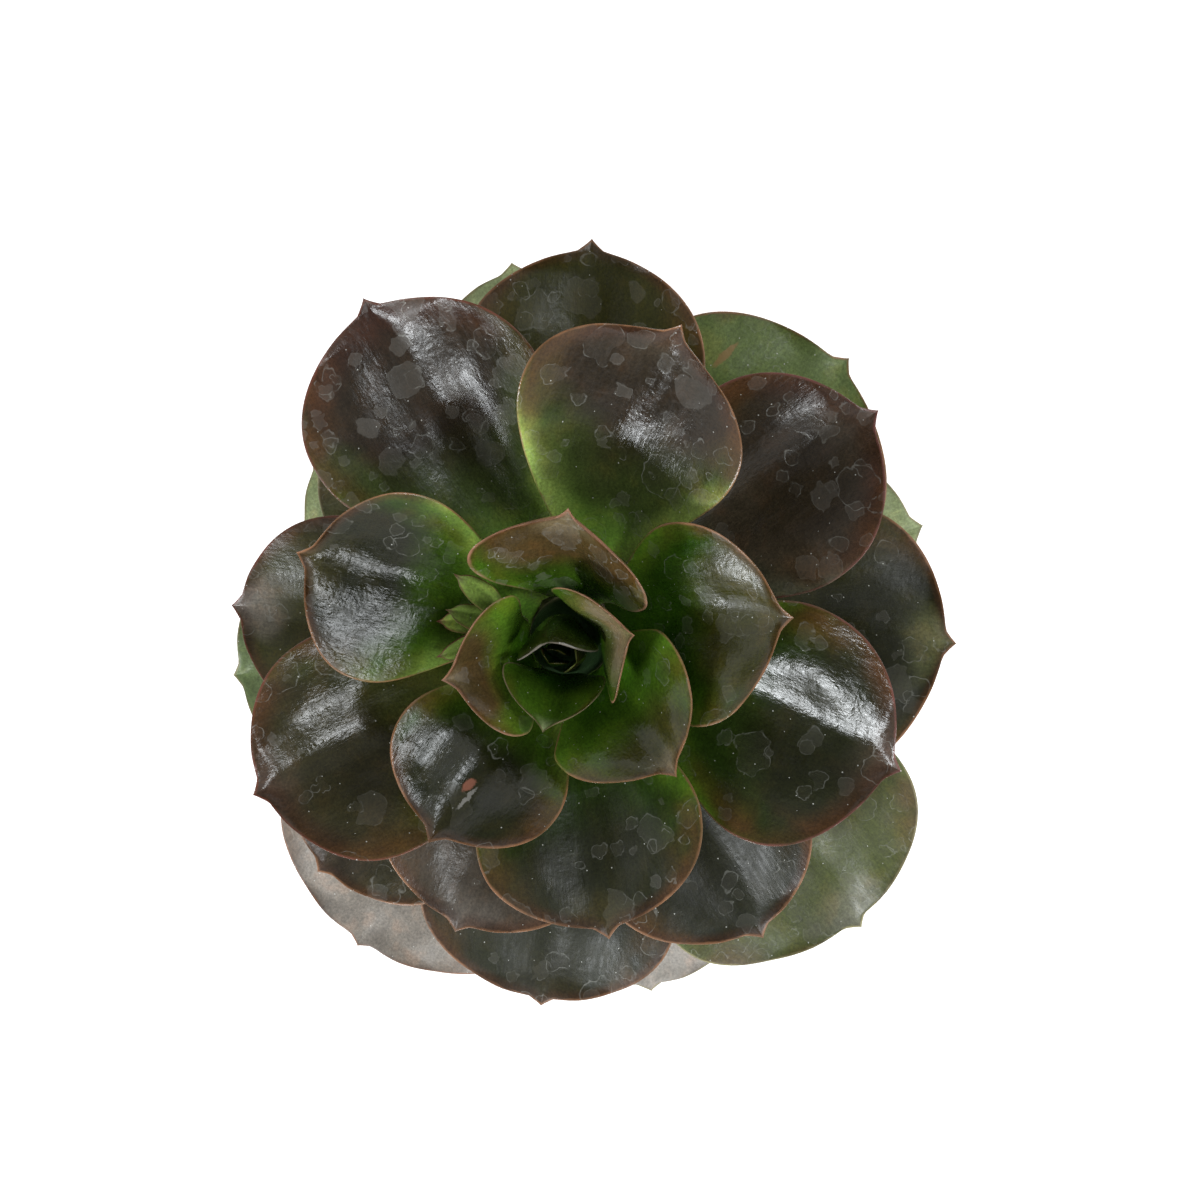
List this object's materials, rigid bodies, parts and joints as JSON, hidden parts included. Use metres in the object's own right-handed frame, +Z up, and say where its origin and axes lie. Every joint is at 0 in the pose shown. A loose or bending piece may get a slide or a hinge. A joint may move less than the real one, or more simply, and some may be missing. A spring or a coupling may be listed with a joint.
{
  "type": "potted echeveria",
  "caption": "Succulent rosette of broad dark pointed leaves on a short stem, growing in soil in a small round terracotta pot.",
  "frame": {"origin": "centre of the pot's flat underside, which stands on the surface", "axes": "+Z up along the stem; +X and +Y are level, +X to the right and +Y away from a viewer who stands at the front, where the pot's side without the side shoot's leaves is nearest"},
  "size_m": [0.1134, 0.1205, 0.1169],
  "materials": {
    "clay": "unglazed terracotta, matt",
    "potting_soil": "moist peat and bark mix with grit",
    "bark": "corky, with leaf scars",
    "olive_leaf": "waxy leaf skin, half gloss, olive to brown",
    "dark_leaf": "waxy leaf skin, half gloss, dark brown",
    "green_leaf": "waxy leaf skin, half gloss, green",
    "grey_leaf": "leaf skin under a pale bloom, satin",
    "young_leaf": "young leaf skin, half gloss, light green"
  },
  "bodies": {
    "root": {"pot": "clay", "soil": "potting_soil", "stem": "bark", "bud_leaf_1": "olive_leaf", "bud_leaf_2": "olive_leaf", "bud_leaf_3": "olive_leaf", "leaf_01": "olive_leaf", "leaf_02": "olive_leaf", "leaf_03": "olive_leaf", "leaf_04": "olive_leaf", "leaf_05": "olive_leaf", "leaf_06": "olive_leaf", "leaf_07": "olive_leaf", "leaf_08": "olive_leaf", "leaf_09": "olive_leaf", "leaf_10": "olive_leaf", "leaf_11": "olive_leaf", "leaf_12": "dark_leaf", "leaf_13": "dark_leaf", "leaf_14": "dark_leaf", "leaf_15": "dark_leaf", "leaf_16": "dark_leaf", "leaf_17": "dark_leaf", "leaf_18": "dark_leaf", "leaf_19": "dark_leaf", "leaf_20": "dark_leaf", "leaf_21": "dark_leaf", "leaf_22": "green_leaf", "leaf_23": "dark_leaf", "leaf_24": "green_leaf", "leaf_25": "green_leaf", "leaf_26": "green_leaf", "leaf_27": "green_leaf", "leaf_28": "grey_leaf", "leaf_29": "green_leaf", "leaf_30": "green_leaf", "leaf_31": "grey_leaf", "side_stalk": "young_leaf", "side_leaf_1": "young_leaf", "side_leaf_2": "young_leaf", "side_leaf_3": "young_leaf", "side_leaf_4": "young_leaf"}
  },
  "joints": []
}
